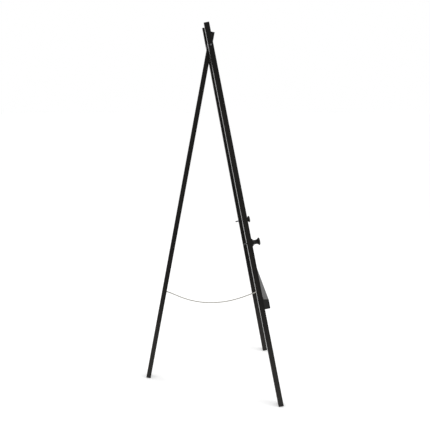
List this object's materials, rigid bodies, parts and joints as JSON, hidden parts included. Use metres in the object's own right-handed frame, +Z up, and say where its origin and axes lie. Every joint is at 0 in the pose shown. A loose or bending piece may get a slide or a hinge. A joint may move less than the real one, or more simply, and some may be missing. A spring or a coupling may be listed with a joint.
{
  "type": "flipchart easel",
  "caption": "Folding timber display easel: flat front frame with a ledge and pull-out pegs, one rear leg hinged at the top, and a limp check cord.",
  "frame": {"origin": "centre of the footprint, on the floor", "axes": "+Z up; -Y to the front, the side with the ledge and pegs; X across"},
  "size_m": [0.7108, 0.6222, 1.6563],
  "materials": {
    "black_timber": "satin black stain and lacquer",
    "black_knob": "satin black turned wood",
    "dark_steel": "blackened steel",
    "zinc_screw": "zinc plated",
    "rubber_pad": "matt black rubber",
    "cream_cord": "braided cotton"
  },
  "bodies": {
    "front_frame": {"front_leg_left": "black_timber", "front_leg_right": "black_timber", "ledge": "black_timber", "ledge_screws": "zinc_screw", "hinge_rod": "dark_steel", "hinge_cap_nuts": "dark_steel", "hinge_spacer_left": "dark_steel", "hinge_spacer_right": "dark_steel", "hinge_washers": "dark_steel", "front_foot_pad_left": "rubber_pad", "front_foot_pad_right": "rubber_pad", "front_pad_screws": "zinc_screw", "cord_eye": "dark_steel", "cord": "cream_cord", "cord_knot_front": "cream_cord"},
    "rear_leg": {"rear_leg": "black_timber", "rear_bush": "dark_steel", "rear_foot_pad": "rubber_pad", "rear_pad_screw": "zinc_screw", "cord_knot_rear": "cream_cord"},
    "peg_left": {"peg_left_knob": "black_knob", "peg_left_pin": "dark_steel"},
    "peg_right": {"peg_right_knob": "black_knob", "peg_right_pin": "dark_steel"}
  },
  "joints": [
    {"name": "rear_leg_fold", "type": "hinge", "parent": "front_frame", "child": "rear_leg", "pos_m": [0, 0.00317, 1.56154], "axis": [1, 0, 0], "range_deg": [-21.6, 0.9], "deforming": ["cord"]},
    {"name": "peg_left_pull", "type": "slide", "parent": "front_frame", "child": "peg_left", "axis": [0, -0.9816, 0.1908], "range_m": [0, 0.036]},
    {"name": "peg_right_pull", "type": "slide", "parent": "front_frame", "child": "peg_right", "axis": [0, -0.9816, 0.1908], "range_m": [0, 0.036]}
  ]
}
